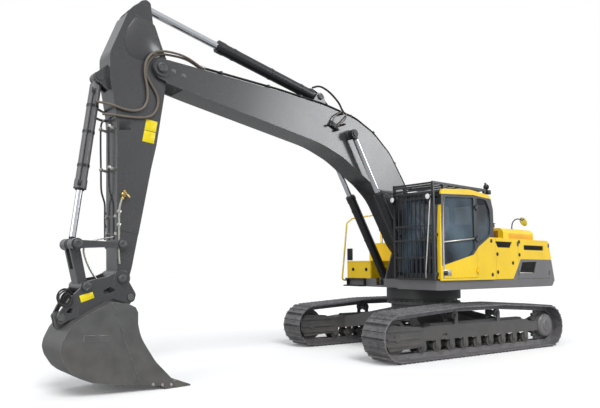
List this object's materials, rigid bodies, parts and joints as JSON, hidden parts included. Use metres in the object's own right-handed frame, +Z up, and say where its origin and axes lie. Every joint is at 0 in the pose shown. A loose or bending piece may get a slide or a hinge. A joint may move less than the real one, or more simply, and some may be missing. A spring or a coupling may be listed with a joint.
{
  "type": "crawler excavator",
  "caption": "Crawler excavator with a slewing house on two tracks, side cab with bar guards, bent boom, arm, linkage with quick coupler and bucket.",
  "frame": {"origin": "on the ground under the swing axis", "axes": "+X forward along the boom, +Y to the machine's left with the cab, +Z up"},
  "size_m": [11.1205, 3.8327, 5.6737],
  "materials": {
    "yellow": "gloss",
    "charcoal": "satin",
    "grey": "satin",
    "black": "satin",
    "pale_yellow": "satin",
    "track_steel": "worn",
    "dark_iron": "matt",
    "steel": "machined",
    "chrome": "polished",
    "glass": "tinted",
    "seat": "woven"
  },
  "bodies": {
    "undercarriage": {"centre_frame": "charcoal", "slewing_ring": "steel", "track_left": "track_steel", "track_right": "track_steel", "track_frames": "charcoal", "idlers": "charcoal", "sprockets": "grey", "track_rollers": "charcoal"},
    "house": {"upper_frame": "grey", "upper_race": "steel", "counterweight": "yellow", "engine": "dark_iron", "side_panels": "yellow", "deck_top": "yellow", "fuel_tank": "yellow", "hydraulic_tank": "yellow", "toolbox": "yellow", "front_steps": "black", "cab_shell": "black", "cab_glass": "glass", "cab_interior": "seat", "cab_guards": "black", "handrails": "pale_yellow", "air_intake": "black"},
    "left_front_door": {"left_front_door": "yellow"},
    "left_rear_door": {"left_rear_door": "yellow"},
    "right_door": {"right_door": "yellow"},
    "engine_hood": {"engine_hood": "yellow"},
    "toolbox_lid": {"toolbox_lid": "yellow"},
    "cab_door": {"cab_door": "yellow", "door_glass": "glass"},
    "boom": {"boom": "charcoal"},
    "boom_cylinder_tubes": {"boom_cylinder_tubes": "black"},
    "boom_cylinder_rods": {"boom_cylinder_rods": "chrome"},
    "arm_cylinder_tube": {"arm_cylinder_tube": "black"},
    "arm_cylinder_rod": {"arm_cylinder_rod": "chrome"},
    "arm": {"arm": "charcoal"},
    "bucket_cylinder_tube": {"bucket_cylinder_tube": "grey"},
    "bucket_cylinder_rod": {"bucket_cylinder_rod": "chrome"},
    "guide_links": {"guide_links": "charcoal"},
    "push_link": {"push_link": "charcoal"},
    "bucket": {"coupler": "charcoal", "bucket_shell": "charcoal", "bucket_teeth": "charcoal"}
  },
  "joints": [
    {"name": "swing", "type": "hinge", "parent": "undercarriage", "child": "house", "pos_m": [0, 0, 1], "axis": [0, 0, 1], "continuous": true},
    {"name": "boom_lift", "type": "hinge", "parent": "house", "child": "boom", "pos_m": [0.497, 0, 2.015], "axis": [0, -1, 0], "range_deg": [-67, 38]},
    {"name": "boom_tubes_swing", "type": "hinge", "parent": "house", "child": "boom_cylinder_tubes", "pos_m": [0.78, 0, 1.4], "axis": [0, -1, 0], "range_deg": [-64, 37]},
    {"name": "boom_rods_slide", "type": "slide", "parent": "boom_cylinder_tubes", "child": "boom_cylinder_rods", "axis": [0.5306, 0, 0.8476], "range_m": [-0.7, 0.4]},
    {"name": "arm_swing", "type": "hinge", "parent": "boom", "child": "arm", "pos_m": [6.44514, 0, 4.62357], "axis": [0, -1, 0], "range_deg": [-40, 70]},
    {"name": "arm_tube_swing", "type": "hinge", "parent": "boom", "child": "arm_cylinder_tube", "pos_m": [3.13273, 0, 4.86887], "axis": [0, -1, 0], "range_deg": [-3, 4.5]},
    {"name": "arm_rod_slide", "type": "slide", "parent": "arm_cylinder_tube", "child": "arm_cylinder_rod", "axis": [0.98, 0, 0.1991], "range_m": [-1.08, 0.62]},
    {"name": "bucket_curl", "type": "hinge", "parent": "arm", "child": "bucket", "pos_m": [6.93519, 0, 1.50484], "axis": [0, -1, 0], "range_deg": [-86, 65]},
    {"name": "bucket_tube_swing", "type": "hinge", "parent": "arm", "child": "bucket_cylinder_tube", "pos_m": [7.31431, 0, 4.33601], "axis": [0, -1, 0], "range_deg": [-4, 3.5]},
    {"name": "bucket_rod_slide", "type": "slide", "parent": "bucket_cylinder_tube", "child": "bucket_cylinder_rod", "axis": [0.1035, 0, -0.9946], "range_m": [-0.48, 0.63]},
    {"name": "guide_swing", "type": "hinge", "parent": "arm", "child": "guide_links", "pos_m": [6.9447, 0, 1.97907], "axis": [0, -1, 0], "range_deg": [-67, 51]},
    {"name": "push_link_swing", "type": "hinge", "parent": "guide_links", "child": "push_link", "pos_m": [7.56064, 0, 1.96956], "axis": [0, -1, 0], "range_deg": [-39, 51]},
    {"name": "cab_door_hinge", "type": "hinge", "parent": "house", "child": "cab_door", "pos_m": [0.197, 1.514, 2.23], "axis": [0, 0, 1], "range_deg": [0, 165]},
    {"name": "left_front_door_hinge", "type": "hinge", "parent": "house", "child": "left_front_door", "pos_m": [-1.425, 1.464, 1.86], "axis": [0, 0, 1], "range_deg": [0, 110]},
    {"name": "left_rear_door_hinge", "type": "hinge", "parent": "house", "child": "left_rear_door", "pos_m": [-2.79, 1.464, 1.86], "axis": [0, 0, 1], "range_deg": [0, 100]},
    {"name": "right_door_hinge", "type": "hinge", "parent": "house", "child": "right_door", "pos_m": [-2.79, -1.464, 1.86], "axis": [0, 0, -1], "range_deg": [0, 100]},
    {"name": "hood_hinge", "type": "hinge", "parent": "house", "child": "engine_hood", "pos_m": [-1.405, 0.03, 2.2903], "axis": [0, 1, 0], "range_deg": [0, 60]},
    {"name": "toolbox_lid_hinge", "type": "hinge", "parent": "house", "child": "toolbox_lid", "pos_m": [0.23, -1.075, 1.7803], "axis": [0, -1, 0], "range_deg": [0, 80]}
  ],
  "couplings": [
    {"joint": "boom_tubes_swing", "follows": "boom_lift", "ratio": 0.9333},
    {"joint": "boom_rods_slide", "follows": "boom_lift", "m_per_rad": 0.5797},
    {"joint": "arm_tube_swing", "follows": "arm_swing", "ratio": 0.0454},
    {"joint": "arm_rod_slide", "follows": "arm_swing", "m_per_rad": -0.86702},
    {"joint": "bucket_tube_swing", "follows": "bucket_curl", "ratio": 0.0262},
    {"joint": "bucket_rod_slide", "follows": "bucket_curl", "m_per_rad": -0.40748},
    {"joint": "guide_swing", "follows": "bucket_curl", "ratio": 0.7646},
    {"joint": "push_link_swing", "follows": "bucket_curl", "ratio": -0.58}
  ]
}
